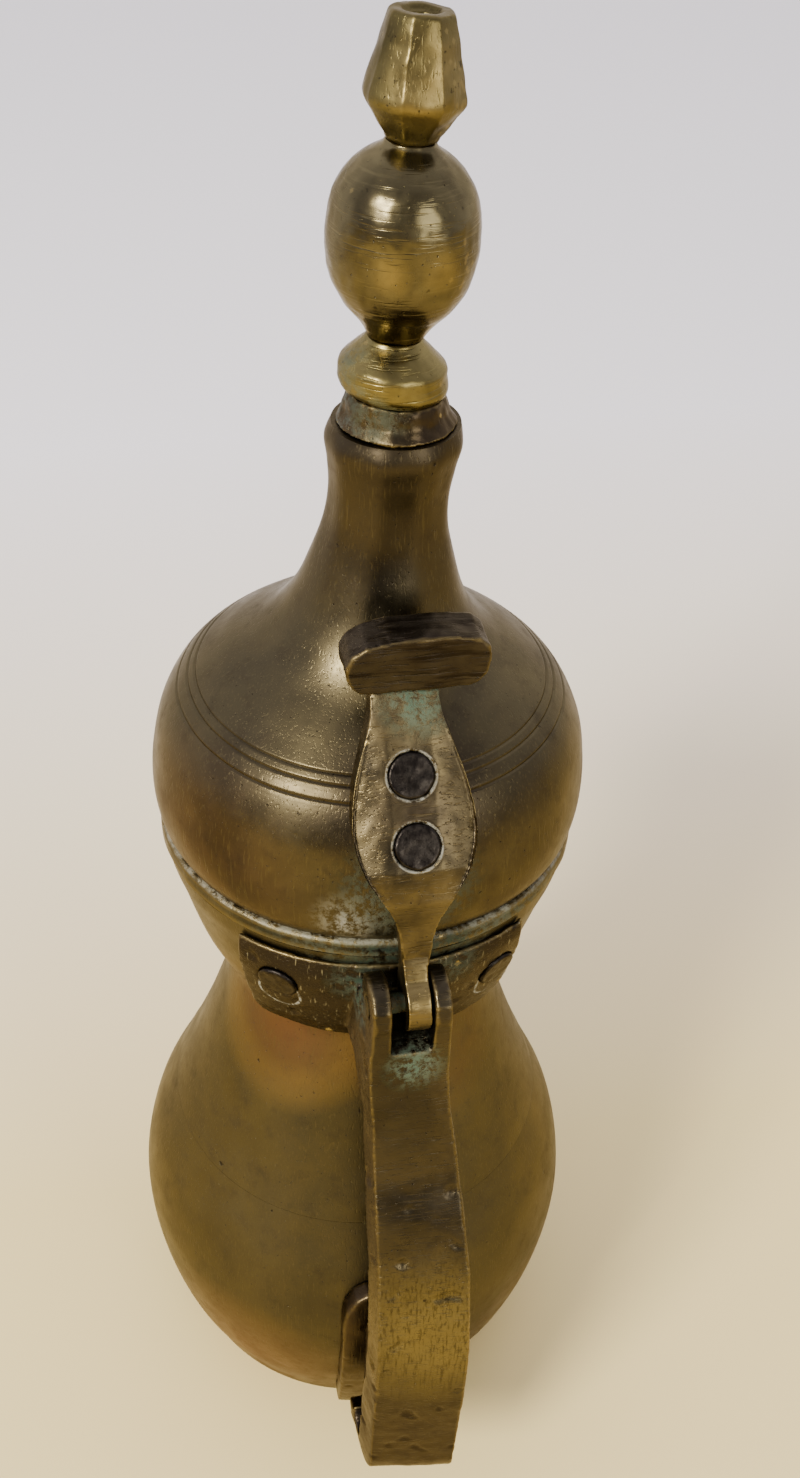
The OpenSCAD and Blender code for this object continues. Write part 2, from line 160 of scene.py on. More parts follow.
def two_colour_ramp(tree, place, low, low_colour, high, high_colour):
    """Goes from one colour to another as the place's X goes from low to high."""
    split = tree.nodes.new("ShaderNodeSeparateXYZ")
    tree.links.new(place, split.inputs[0])
    spread = tree.nodes.new("ShaderNodeMapRange")
    spread.inputs["From Min"].default_value = low
    spread.inputs["From Max"].default_value = high
    ramp = tree.nodes.new("ShaderNodeValToRGB")
    ramp.color_ramp.elements[0].color = low_colour
    ramp.color_ramp.elements[1].color = high_colour
    tree.links.new(split.outputs["X"], spread.inputs["Value"])
    tree.links.new(spread.outputs[0], ramp.inputs[0])
    return ramp.outputs[0]


def make_world():
    """A room that is pale behind the pot and darker on the side where the camera is."""
    world = bpy.data.worlds.new("world")
    world.use_nodes = True
    tree = world.node_tree
    background = tree.nodes["Background"]
    place = tree.nodes.new("ShaderNodeTexCoord").outputs["Generated"]
    colour = two_colour_ramp(tree, place, -0.8, (0.16, 0.15, 0.16, 1), 0.5, (0.74, 0.71, 0.78, 1))
    tree.links.new(colour, background.inputs["Color"])
    background.inputs["Strength"].default_value = 2.3
    bpy.context.scene.world = world


def make_floor():
    """A pale floor, cream on the handle's side of the pot."""
    mesh = bpy.data.meshes.new("floor")
    half = 3.0
    corners = [(-half, -half, 0), (half, -half, 0), (half, half, 0), (-half, half, 0)]
    mesh.from_pydata(corners, [], [(0, 1, 2, 3)])
    material = bpy.data.materials.new("floor")
    material.use_nodes = True
    tree = material.node_tree
    shader = tree.nodes["Principled BSDF"]
    shader.inputs["Roughness"].default_value = 0.6
    place = tree.nodes.new("ShaderNodeTexCoord").outputs["Object"]
    colour = two_colour_ramp(tree, place, 0.02, (0.80, 0.64, 0.28, 1), 0.4, (0.98, 0.95, 0.94, 1))
    tree.links.new(colour, shader.inputs["Base Color"])
    mesh.materials.append(material)
    floor = bpy.data.objects.new("floor", mesh)
    bpy.context.scene.collection.objects.link(floor)


# ---- Materials ----
# Sockets that have to be found by number.
MIX_COLOUR_A, MIX_COLOUR_B, MIX_COLOUR_OUT = 6, 7, 2
VECTOR_VALUE = 1        # the Vector Math node's plain number
SPLIT_Y, SPLIT_Z = 1, 2
POINTINESS = 7          # the Geometry node's output that is high on edges and low in hollows


class Recipe:
    """A material's node tree, with short names for the nodes that this script uses."""

    def __init__(self, name):
        self.material = bpy.data.materials.new(name)
        self.material.use_nodes = True
        self.tree = self.material.node_tree
        self.shader = self.tree.nodes["Principled BSDF"]
        self.shader.inputs["Specular Tint"].default_value = (0.80, 0.74, 0.62, 1)
        self.place = self.tree.nodes.new("ShaderNodeTexCoord").outputs["Object"]

    def link(self, value, socket):
        """Links a node's output to a socket, or sets the socket to a plain value."""
        if isinstance(value, bpy.types.NodeSocket):
            self.tree.links.new(value, socket)
        elif isinstance(value, (tuple, list)) and len(value) == 3 and socket.type == "RGBA":
            socket.default_value = (*value, 1)
        else:
            socket.default_value = value

    def node(self, kind, out=0, operation=None, numbered=(), **sockets):
        """Makes a node, fills its inputs by number or by name, and returns one of its outputs."""
        made = self.tree.nodes.new("ShaderNode" + kind)
        if operation:
            made.operation = operation
        for socket, value in zip(made.inputs, numbered):
            self.link(value, socket)
        for name, value in sockets.items():
            self.link(value, made.inputs[name.replace("_", " ")])
        return made.outputs[out]

    def noise(self, size, detail=4, rough=0.6, distortion=0.0):
        """Noise from 0 to 1 whose features are about size metres across."""
        return self.node("TexNoise", Vector=self.place, Scale=1 / size, Detail=detail,
                         Roughness=rough, Distortion=distortion)

    def streaks(self, per_metre, detail=2, rough=0.5):
        """Noise drawn out along an axis. per_metre says how fine it is along X, Y and Z."""
        drawn = self.node("Mapping", Vector=self.place, Scale=per_metre)
        return self.node("TexNoise", Vector=drawn, Scale=1.0, Detail=detail, Roughness=rough)

    def level(self, value, low, high, to_low=0.0, to_high=1.0):
        """Maps the stretch from low to high onto another one, and holds its ends beyond it."""
        return self.node("MapRange", Value=value, From_Min=low, From_Max=high, To_Min=to_low,
                         To_Max=to_high)

    def times(self, a, b):
        return self.node("Math", operation="MULTIPLY", numbered=(a, b))

    def plus(self, a, b):
        return self.node("Math", operation="ADD", numbered=(a, b))

    def most(self, a, b):
        return self.node("Math", operation="MAXIMUM", numbered=(a, b))

    def size(self, a):
        return self.node("Math", operation="ABSOLUTE", numbered=(a,))

    def mix(self, amount, a, b):
        """Colour a, turning into colour b as the amount goes from 0 to 1."""
        made = self.tree.nodes.new("ShaderNodeMix")
        made.data_type = "RGBA"
        self.link(amount, made.inputs["Factor"])
        self.link(a, made.inputs[MIX_COLOUR_A])
        self.link(b, made.inputs[MIX_COLOUR_B])
        return made.outputs[MIX_COLOUR_OUT]

    def from_axis(self, start, full):
        """0 to 1 as the distance from the pot's axis goes from start to full."""
        flat = self.node("Mapping", Vector=self.place, Scale=(1, 1, 0))
        length = self.node("VectorMath", out=VECTOR_VALUE, operation="LENGTH", numbered=(flat,))
        return self.level(length, start, full)

    def height(self, start, full):
        """0 to 1 as the height goes from start to full."""
        return self.level(self.node("SeparateXYZ", out=SPLIT_Z, Vector=self.place), start, full)

    def distance(self, centre):
        """How far the place is from a point, in metres."""
        return self.node("VectorMath", out=VECTOR_VALUE, operation="DISTANCE",
                         numbered=(self.place, tuple(centre)))

    def near(self, centre, radius, soft=0.5):
        """0 beyond a radius from a point, rising to 1 over the soft share of the radius."""
        return self.level(self.distance(centre), radius, radius * (1 - soft))

    def ring(self, centre, radius, width):
        """1 at a distance from a point, falling to 0 over a width on both sides."""
        return self.level(self.size(self.plus(self.distance(centre), -radius)), width, width * 0.3)

    def bumped(self, *layers):
        """Chains bumps, each (height, depth in metres)."""
        normal = None
        for height, depth in layers:
            made = self.tree.nodes.new("ShaderNodeBump")
            made.inputs["Strength"].default_value = 1.0
            made.inputs["Distance"].default_value = depth
            self.link(height, made.inputs["Height"])
            if normal:
                self.link(normal, made.inputs["Normal"])
            normal = made.outputs[0]
        self.link(normal, self.shader.inputs["Normal"])


GOLD = (0.088, 0.0715, 0.035)
OLIVE = (0.040, 0.035, 0.0215)
BROWN = (0.025, 0.0185, 0.0135)
BRIGHT = (0.30, 0.225, 0.082)
COPPER = (0.115, 0.055, 0.028)
BLACK = (0.012, 0.010, 0.009)
VERDIGRIS = (0.006, 0.026, 0.016)
PALE_GREEN = (0.040, 0.078, 0.053)
CHALK = (0.22, 0.22, 0.185)


# A mask is a function that adds its nodes to a recipe and returns a value from 0 to 1. These four
# make one from a place.
def patch(centre, radius, soft=0.85):
    """A ragged round patch."""
    return lambda r: r.times(r.near(centre, radius, soft), r.level(r.noise(9 * MM, 4, 0.6), 0.25, 0.6))


def spot(centre, radius, soft=0.5):
    """A round patch with a soft edge."""
    return lambda r: r.near(centre, radius, soft)


def ring_round(centre, radius, width):
    """A thin ring, such as the dirt round a rivet's head."""
    return lambda r: r.ring(centre, radius, width)


def heights(start, full):
    """All that lies beyond a height, in the direction from start to full."""
    return lambda r: r.height(start, full)


def arm_mask(r):
    """The two arms that clasp the waist: high up and close to the pot."""
    return r.times(r.from_axis(38.4 * MM, 37.2 * MM), r.height(105 * MM, 110 * MM))


def arm_scratches(r):
    """Bright lines up and down the arms."""
    return r.times(arm_mask(r), r.level(r.streaks((2400, 2400, 260)), 0.63, 0.70))


def grip_scratches(r):
    """Dark lines along the strap where hands hold it."""
    streaks = r.level(r.streaks((2400, 2400, 130), 3, 0.6), 0.50, 0.66)
    return r.times(r.near(mm(-66, 0, 72), 24 * MM, 0.5), streaks)


def side_shade(r):
    """The faces of the handle that look along the hinge's axis, which get painted shade."""
    normal = r.tree.nodes.new("ShaderNodeTexCoord").outputs["Normal"]
    return r.level(r.size(r.node("SeparateXYZ", out=SPLIT_Y, Vector=normal)), 0.6, 0.9)


def file_marks(r):
    """Dark lines across the thumb piece."""
    return r.level(r.streaks((900, 70, 900), 3, 0.6), 0.5, 0.62)


def dust(r):
    """Cloudy flecks all over."""
    return r.level(r.noise(6 * MM, 4, 0.7), 0.45, 0.7)


def ball_pits(r):
    """Dark casting pits all over."""
    return r.level(r.noise(1.2 * MM, 3, 0.6), 0.33, 0.27)


def crest_pits(r):
    """Dark casting pits on the finial's tip."""
    return r.times(r.near(CREST, 14 * MM, 0.2), r.level(r.noise(1.1 * MM, 3, 0.6), 0.36, 0.28))


def brass(name, light, dark, mottle=14 * MM, lines=(2600, 2600, 160), line_depth=0.02 * MM,
          roughness=(0.24, 0.46), tints=(), crusts_and_sheen=(), edges=0.0, grime=0.5):
    """Aged brass. tints and the dull layers after them are each (mask, colour, amount): a tint colours the
    metal and a dull layer lies on it. Some tints are painted highlights and painted shade; the dull layers
    are deposits, and one is a painted highlight along the rim band's top edge. lines says how fine the
    scratches are along X, Y and Z, and edges is how much the edges shine and the hollows darken."""
    r = Recipe(name)
    cloud = r.level(r.noise(mottle, 5, 0.55, distortion=0.3), 0.25, 0.75)
    colour = r.mix(cloud, dark, light)
    stain = r.level(r.noise(4 * MM, 6, 0.7), 0.52, 0.8)
    colour = r.mix(r.times(stain, grime), colour, BROWN)
    for mask, tint, amount in tints:
        colour = r.mix(r.times(mask(r), amount), colour, tint)
    scratch = r.level(r.streaks(lines), 0.56, 0.74)
    colour = r.mix(r.times(scratch, 0.45), colour, light)
    fine_pits = r.level(r.noise(0.55 * MM, 2, 0.5), 0.31, 0.24)
    specks = r.level(r.noise(2.6 * MM, 2, 0.5), 0.245, 0.215)
    pits = r.most(fine_pits, specks)
    colour = r.mix(r.times(pits, 0.8), colour, BLACK)
    if edges:
        pointiness = r.node("NewGeometry", out=POINTINESS)
        worn = r.level(pointiness, 0.52, 0.60)
        hollow = r.level(pointiness, 0.48, 0.42)
        colour = r.mix(r.times(worn, edges), colour, BRIGHT)
        colour = r.mix(r.times(hollow, edges), colour, BROWN)
    coverage = None
    for mask, layer_colour, amount in crusts_and_sheen:
        flakes = r.level(r.noise(1.6 * MM, 6, 0.75), 0.42, 0.56)
        covered = r.times(r.times(mask(r), flakes), amount)
        colour = r.mix(covered, colour, layer_colour)
        coverage = r.most(coverage, covered) if coverage else covered
    r.link(colour, r.shader.inputs["Base Color"])
    haze = r.level(r.noise(7 * MM, 5, 0.65), 0.3, 0.7, *roughness)
    haze = r.plus(haze, r.times(stain, 0.12))
    layers = [(scratch, -line_depth), (pits, -0.05 * MM), (r.noise(2.2 * MM, 4, 0.6), 0.02 * MM)]
    if coverage:
        haze = r.plus(haze, r.times(coverage, 0.4))
        r.link(r.level(coverage, 0.1, 0.7, 1.0, 0.0), r.shader.inputs["Metallic"])
        layers.append((r.times(coverage, r.noise(0.5 * MM, 3, 0.6)), 0.12 * MM))
    else:
        r.shader.inputs["Metallic"].default_value = 1.0
    r.link(haze, r.shader.inputs["Roughness"])
    r.bumped(*layers)
    return r.material


def dark_metal(name):
    """The blackened metal of the rivets' heads."""
    r = Recipe(name)
    cloud = r.level(r.noise(1.5 * MM, 5, 0.65), 0.4, 0.65)
    r.link(r.mix(cloud, BLACK, (0.032, 0.028, 0.024)), r.shader.inputs["Base Color"])
    r.shader.inputs["Metallic"].default_value = 1.0
    r.link(r.level(r.noise(0.8 * MM, 4, 0.6), 0.3, 0.7, 0.28, 0.5), r.shader.inputs["Roughness"])
    r.bumped((r.noise(0.9 * MM, 4, 0.6), 0.08 * MM))
    return r.material


# ---- Shapes ----
def smooth_curve(points, steps=6):
    """A Catmull-Rom curve through points, the same as the one that the CAD model uses."""
    pts = [Vector(p) for p in points]
    out = []
    for i in range(len(pts) - 1):
        a, b, c, d = pts[max(i - 1, 0)], pts[i], pts[i + 1], pts[min(i + 2, len(pts) - 1)]
        for k in range(steps):
            t = k / steps
            out.append(0.5 * (2 * b + (c - a) * t + (2 * a - 5 * b + 4 * c - d) * t * t
                              + (3 * b - a - 3 * c + d) * t ** 3))
    return out + [pts[-1]]


def shell(curve, thickness):
    """A closed outline: up the curve, and back down beside it at a distance."""
    inner = []
    for i, p in enumerate(curve):
        along = (curve[min(i + 1, len(curve) - 1)] - curve[max(i - 1, 0)]).normalized()
        inner.append(p + Vector((-along.y, along.x)) * thickness)
    inner[0] = Vector((inner[0].x, curve[0].y))
    inner[-1] = Vector((inner[-1].x, curve[-1].y))
    return list(curve) + inner[::-1]


def rise(value, start, full):
    """0 to 1 as a value goes from start to full, in either direction."""
    return min(1.0, max(0.0, (value - start) / (full - start)))


def new_piece(name, bm, body, nodes, material):
    """Makes a piece that rides on a body and stands in for CAD nodes."""
    mesh = bpy.data.meshes.new(name)
    bm.to_mesh(mesh)
    bm.free()
    piece = bpy.data.objects.new(name, mesh)
    bpy.context.scene.collection.objects.link(piece)
    mesh.materials.append(material)
    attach(piece, body)
    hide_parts(*nodes)
    return piece


def smooth_with_creases(bm, degrees=38):
    """Shades smoothly, but keeps edges that turn by more than an angle sharp."""
    for face in bm.faces:
        face.smooth = True
    for edge in bm.edges:
        edge.smooth = len(edge.link_faces) == 2 and edge.calc_face_angle(0) < math.radians(degrees)


def lathe(outline, segments=224, dent=None):
    """Revolves a closed outline of (radius, height) in metres about Z, then dents it point by point."""
    bm = bmesh.new()
    rings = []
    for k in range(segments):
        c, s = math.cos(2 * math.pi * k / segments), math.sin(2 * math.pi * k / segments)
        rings.append([bm.verts.new((p.x * c, p.x * s, p.y)) for p in outline])
    for k in range(segments):
        a, b = rings[k], rings[(k + 1) % segments]
        for i in range(len(outline)):
            j = (i + 1) % len(outline)
            bm.faces.new((a[i], b[i], b[j], a[j]))
    bmesh.ops.remove_doubles(bm, verts=bm.verts, dist=0.0001 * MM)
    if dent:
        for v in bm.verts:
            v.co = dent(v.co)
    bmesh.ops.recalc_face_normals(bm, faces=bm.faces)
    smooth_with_creases(bm)
    return bm


def worn_copy(node, grain, rounds=4, shape=None):
    """A node's mesh rebuilt as a fine even grid, its edges softened, then shaped point by point."""
    source = bpy.data.objects.new("source", NODES[node].data.copy())
    bpy.context.scene.collection.objects.link(source)
    welded = bmesh.new()
    welded.from_mesh(source.data)
    bmesh.ops.remove_doubles(welded, verts=welded.verts, dist=0.001 * MM)
    welded.to_mesh(source.data)
    welded.free()
    remesh = source.modifiers.new("remesh", "REMESH")
    remesh.mode = "VOXEL"
    remesh.voxel_size = grain
    soften = source.modifiers.new("soften", "SMOOTH")
    soften.factor = 0.5
    soften.iterations = rounds
    evaluated = source.evaluated_get(bpy.context.evaluated_depsgraph_get())
    bm = bmesh.new()
    bm.from_mesh(evaluated.to_mesh())
    evaluated.to_mesh_clear()
    bpy.data.objects.remove(source)
    if shape:
        bm.normal_update()
        moved = [shape(v.co, v.normal) for v in bm.verts]
        for v, co in zip(bm.verts, moved):
            v.co = co
    for face in bm.faces:
        face.smooth = True
    return bm


def bumps(co, size, depth):
    """Soft unevenness up to a depth, in or out, whose features are about size across."""
    return noise.noise(co / size) * depth


# ---- Pot ----
# The outer side, [radius, height] in mm, the same as in the CAD model.
POT_OUTLINE = ((37, 0), (38.4, 4.5), (40.9, 12), (43.2, 22), (44.5, 32), (44.3, 41), (41.9, 52.5),
               (36.9, 64), (32.3, 75.5), (28.7, 86), (26, 94.5), (24.4, 102.5), (25.3, 107),
               (27.9, 111.5), (30.2, 116.5), (32, 122.5), (33.5, 128.5), (34.8, 133), (35.6, 136.8))
STRAINER_ROWS = ((112, 3), (117, 4), (122, 5), (127, 4))    # [height in mm, holes], as in the CAD


def beaten(co):
    """The slight dents and flats that hammering leaves in raised sheet."""
    out = Vector((co.x, co.y, 0))
    if out.length < 1 * MM:
        return co
    depth = bumps(co, 26 * MM, 0.22 * MM) + bumps(co, 9 * MM, 0.06 * MM)
    ends = min(1.0, co.z / (4 * MM), abs(co.z - SEAM_Z) / (3 * MM), abs(BAND_BOTTOM - co.z) / (4 * MM))
    return co + out.normalized() * depth * max(0.0, ends)


def between(curve, z0, z1):
    """The stretch of a curve from one height to another, with points exactly at both."""
    def radius(z):
        for p, q in zip(curve, curve[1:]):
            if p.y <= z <= q.y:
                return p.x + (q.x - p.x) * (z - p.y) / (q.y - p.y)
        return curve[-1].x if z > curve[-1].y else curve[0].x
    inside = [p for p in curve if z0 + 0.2 * MM < p.y < z1 - 0.2 * MM]
    return [Vector((radius(z0), z0))] + inside + [Vector((radius(z1), z1))]


def make_pot_bodies():
    curve = smooth_curve([(r * MM, z * MM) for r, z in POT_OUTLINE], 10)
    lower = lathe(shell(between(curve, 0, SEAM_Z), SHEET), dent=beaten)
    new_piece("lower_shell", lower, "pot", ["lower_body"], BODY_BRASS)
    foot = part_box("upper_body")[0].z
    upper = lathe(shell(between(curve, foot, BAND_BOTTOM), SHEET), dent=beaten)
    piece = new_piece("upper_shell", upper, "pot", ["upper_body"], BODY_BRASS)
    pierce(piece)


def pierce(piece):
    """Cuts the strainer's holes behind the spout."""
    pitch, radius, length = 4.2 * MM, 1.4 * MM, 18 * MM
    through_wall = 28 * MM
    cutter = bmesh.new()
    for height, count in STRAINER_ROWS:
        for k in range(count):
            place = Matrix.Translation((through_wall, (k - (count - 1) / 2) * pitch, height * MM))
            bmesh.ops.create_cone(cutter, cap_ends=True, segments=20, radius1=radius, radius2=radius,
                                  depth=length, matrix=place @ Matrix.Rotation(math.pi / 2, 4, "Y"))
    mesh = bpy.data.meshes.new("holes")
    cutter.to_mesh(mesh)
    cutter.free()
    holes = bpy.data.objects.new("holes", mesh)
    bpy.context.scene.collection.objects.link(holes)
    cut = piece.modifiers.new("strainer", "BOOLEAN")
    cut.object, cut.operation, cut.solver = holes, "DIFFERENCE", "EXACT"
    evaluated = piece.evaluated_get(bpy.context.evaluated_depsgraph_get())
    done = bpy.data.meshes.new_from_object(evaluated)
    piece.modifiers.clear()
    piece.data = done
    bpy.data.objects.remove(holes)


def make_mouth_ring():
    """A band with a low bead under its rounded top edge."""
    outline = ((1.9, BAND_BOTTOM), (0.5, BAND_BOTTOM), (0.05, BAND_BOTTOM + 0.5 * MM),
               (0.15, RIM_Z - 1.3 * MM), (0.05, RIM_Z - 0.8 * MM), (0.25, RIM_Z - 0.3 * MM),
               (0.7, RIM_Z - 0.02 * MM), (1.6, RIM_Z - 0.02 * MM), (1.9, RIM_Z - 0.3 * MM))
    edge = [Vector((RIM_R - inset * MM, height)) for inset, height in outline]

    def dented(co):
        out = Vector((co.x, co.y, 0)).normalized()
        return co - out * abs(bumps(co, 8 * MM, 0.25 * MM))
    new_piece("rim_band", lathe(edge, dent=dented), "pot", ["mouth_ring"], RIM_BRASS)


# The outer face of the handle's strap from the top down, [x, z] in mm.
HANDLE_FACE = ((-48.2, 138), (-48.6, 126), (-52.8, 106), (-58.6, 94), (-63.2, 82), (-66.2, 68), (-67.2, 54),
               (-66.9, 40), (-66.8, 33), (-65.2, 24.8), (-60.7, 21.4), (-57.6, 20.8))


def make_handle():
    face = smooth_curve([(x * MM, z * MM) for x, z in HANDLE_FACE], 20)
    tree = KDTree(len(face))
    for i, p in enumerate(face):
        tree.insert((p.x, 0, p.y), i)
    tree.balance()

    def drafted(co, normal):
        """The strap was cast with its sides sloping, so its front is narrower than its back. Below
        the waist its face also turns a little to one side."""
        depth = tree.find((co.x, 0, co.z))[2]
        slope = rise(depth, 5.2 * MM, 0) * rise(co.z, 126 * MM, 114 * MM)
        yaw = rise(co.x, -50 * MM, -60 * MM) * rise(co.z, 115 * MM, 85 * MM)
        return filed(Vector((co.x + 0.13 * yaw * co.y, co.y * (1 - 0.115 * slope), co.z)), normal)

    def filed(co, normal):
        """Small lumps, with nicks where a second noise is high."""
        depth = bumps(co, 7 * MM, 0.16 * MM) + bumps(co, 2.2 * MM, 0.07 * MM)
        nick, start = noise.noise(co / (3.1 * MM) + Vector((7, 3, 1))), 0.42
        if nick > start:
            depth -= (nick - start) * 1.4 * MM
        return co + normal * min(depth, 0.08 * MM)
    bm = worn_copy("handle", 0.42 * MM, 4, drafted)
    new_piece("strap_handle", bm, "pot", ["handle"], HANDLE_BRASS)
    bm = worn_copy("tail_plate", 0.45 * MM, 3, filed)
    new_piece("tail_pad", bm, "pot", ["tail_plate"], TAIL_BRASS)


def make_spout():
    def hand_formed(co, normal):
        return co + normal * bumps(co, 9 * MM, 0.12 * MM)
    bm = worn_copy("spout", 0.36 * MM, 4, hand_formed)
    new_piece("beak_spout", bm, "pot", ["spout"], SPOUT_BRASS)


def make_rivets():
    def hammered(co, normal):
        return co + normal * bumps(co, 1.8 * MM, 0.12 * MM)
    for node, name, body in (("arm_rivets", "arm_rivet_pair", "pot"),
                             ("strap_rivets", "strap_rivet_pair", "lid"),
                             ("tail_rivets", "tail_rivet_pair", "pot")):
        new_piece(name, worn_copy(node, 0.22 * MM, 3, hammered), body, [node], DARK_METAL)


# ---- Lid ----
# The outer side, [radius, height above the rim] in mm, the same as in the CAD model.
LID_OUTLINE = ((35, 0.25), (36.2, 3), (36.7, 8), (36.3, 13), (34.8, 19.5), (31.2, 25.7), (25, 31),
               (19.6, 34.8), (16, 38.6), (13.4, 43), (11.4, 48.5), (9.6, 55), (9.1, 60.5), (9.6, 65.5),
               (10.2, 69), (9.5, 71.6))
SPIRE_TOP = LID_OUTLINE[-1][1]
ENGRAVED = (28.2, 27.1, 25.2)           # heights of the three grooves above the rim, in mm

# The spire isn't quite straight: [height above the rim, shift towards -Y], in mm.
SWAY = ((34, 0), (44, 0.75), (56, 1.4), (71.6, 2.35), (76.5, 2.0), (79, 1.25), (86, 1.05),
        (98, 0.8), (115, 0.4), (127, 0.3))


def swayed(co):
    """A point of the lid, moved with the bend of the spire."""
    z = (co.z - RIM_Z) / MM
    if z <= SWAY[0][0]:
        return co
    shift = SWAY[-1][1]
    for (z0, s0), (z1, s1) in zip(SWAY, SWAY[1:]):
        if z0 <= z < z1:
            shift = s0 + (s1 - s0) * (z - z0) / (z1 - z0)
            break
    return Vector((co.x, co.y - shift * MM, co.z))


def engraved(curve):
    """Cuts three fine grooves into the outer side of the lid's outline."""
    groove = 0.22 * MM                  # depth, and about half the width
    dense = []
    for p, q in zip(curve, curve[1:]):
        steps = 8 if 23.5 * MM < p.y - RIM_Z < 29.5 * MM else 1
        dense += [p.lerp(q, k / steps) for k in range(steps)]
    dense.append(curve[-1])
    centres = [min(dense, key=lambda p: abs(p.y - RIM_Z - z * MM)) for z in ENGRAVED]
    cut = []
    for i, p in enumerate(dense):
        along = (dense[min(i + 1, len(dense) - 1)] - dense[max(i - 1, 0)]).normalized()
        depth = sum(groove * math.exp(-((p - c).length / groove) ** 2) for c in centres)
        cut.append(p + Vector((-along.y, along.x)) * depth)
    return cut


def make_lid():
    curve = smooth_curve([(r * MM, z * MM + RIM_Z) for r, z in LID_OUTLINE], 10)
    outer = engraved(curve)
    inner = shell(curve, SHEET)[len(curve):]

    def beaten_lid(co):
        """Dents all over, and nine soft facets on the spire."""
        out = Vector((co.x, co.y, 0))
        z = co.z - RIM_Z
        depth = bumps(co, 20 * MM, 0.22 * MM) + bumps(co, 7 * MM, 0.05 * MM)
        facets = 0.10 * MM * math.cos(9 * math.atan2(co.y, co.x)) * rise(z, 42 * MM, 54 * MM)
        ends = min(1.0, z / (3 * MM), (SPIRE_TOP * MM - z) / (2 * MM))
        return swayed(co + out.normalized() * (depth + facets) * max(0.0, ends))
    bm = lathe(outer + inner, 256, beaten_lid)
    new_piece("lid_shell", bm, "lid", ["lid_dome"], LID_BRASS)


def make_finial():
    centre = Vector((0, 0, CAP_TOP))
    axis = (CREST - centre).normalized()

    def turned(co, normal):
        return swayed(co + normal * (bumps(co, 4 * MM, 0.14 * MM) + bumps(co, 1.4 * MM, 0.05 * MM)))

    def bulged(co, normal):
        """The solder and bent sheet round the foot of the finial make a soft uneven ring."""
        return swayed(co + normal * (bumps(co, 3.5 * MM, 0.45 * MM) + bumps(co, 1.2 * MM, 0.12 * MM)))

    def filed_flats(co, normal):
        """The crest was filed by hand into eight soft flats."""
        step, start = math.pi / 4, 0.42
        full_flat, softness = 0.955, 0.6        # a flat's mean reach, and the share of it that shows
        foot = centre + axis * (co - centre).dot(axis)
        out = co - foot
        flat = math.cos((math.atan2(out.y, out.x) + start) % step - step / 2)
        reach = 1 + softness * (full_flat / flat - 1)
        return swayed(foot + out * reach + normal * bumps(co, 2.5 * MM, 0.16 * MM))
    for node, name, material, slot, shape in (
            ("spire_cap", "spire_shoulder", CAP_BRASS, "copper_toned_brass", bulged),
            ("finial_collar", "finial_disc", COLLAR_BRASS, "bright_brass", turned),
            ("finial_ball", "finial_knop", FINIAL_BRASS, "bright_brass", turned),
            ("finial_crest", "finial_tip", CREST_BRASS, "bright_brass", filed_flats)):
        new_piece(name, worn_copy(node, 0.26 * MM, 3, shape), "lid", [node], material)


def make_strap():
    def crowned(co, normal):
        """The cast leaf is thick along its middle and falls away to its wings."""
        drop = 0.0
        if co.z > RIM_Z + 12 * MM:
            wing = max(0.0, abs(co.y) - 3.4 * MM) / (5.5 * MM)
            drop = 1.5 * MM * wing ** 1.3 * max(0.0, normal.dot(LEAF_NORMAL))
        depth = bumps(co, 5 * MM, 0.14 * MM) + bumps(co, 1.6 * MM, 0.05 * MM)
        return co - LEAF_NORMAL * drop + normal * depth

    def rough_cast(co, normal):
        return co + normal * (bumps(co, 5 * MM, 0.3 * MM) + bumps(co, 1.6 * MM, 0.08 * MM))
    bm = worn_copy("hinge_strap", 0.3 * MM, 3, crowned)
    new_piece("leaf_strap", bm, "lid", ["hinge_strap"], STRAP_BRASS)
    bm = worn_copy("thumb_piece", 0.3 * MM, 5, rough_cast)
    new_piece("thumb_lug", bm, "lid", ["thumb_piece"], THUMB_BRASS)


# ---- Build ----
make_camera()
make_world()
make_floor()
area_light("window", (-0.7, 0.8, 0.9), (0, 0, 0.14), 0.36, 30, (1, 0.94, 0.84))
area_light("fill", (-0.9, -0.5, 0.5), (0, 0, 0.14), 0.6, 6, (1, 0.95, 0.86))

ARM_RIVETS = [face_of(points, below_outwards(sum(points, Vector()) / len(points)))
              for points in parts_of("arm_rivets")]
STRAP_RIVETS = [face_of(points, LEAF_NORMAL) for points in parts_of("strap_rivets")]
LEAF_MIDDLE = (STRAP_RIVETS[0] + STRAP_RIVETS[1]) / 2
NECK_STAIN = mm(-17, 18, 104)           # a copper stain under one arm, ringed by a painted highlight
GRIP_HIGHLIGHT = mm(-66, -2, 73)              # a painted highlight on the strap's face, where hands hold it
HEAD_EDGE = 3.75 * MM                   # radius of the pale dirt round a rivet's head

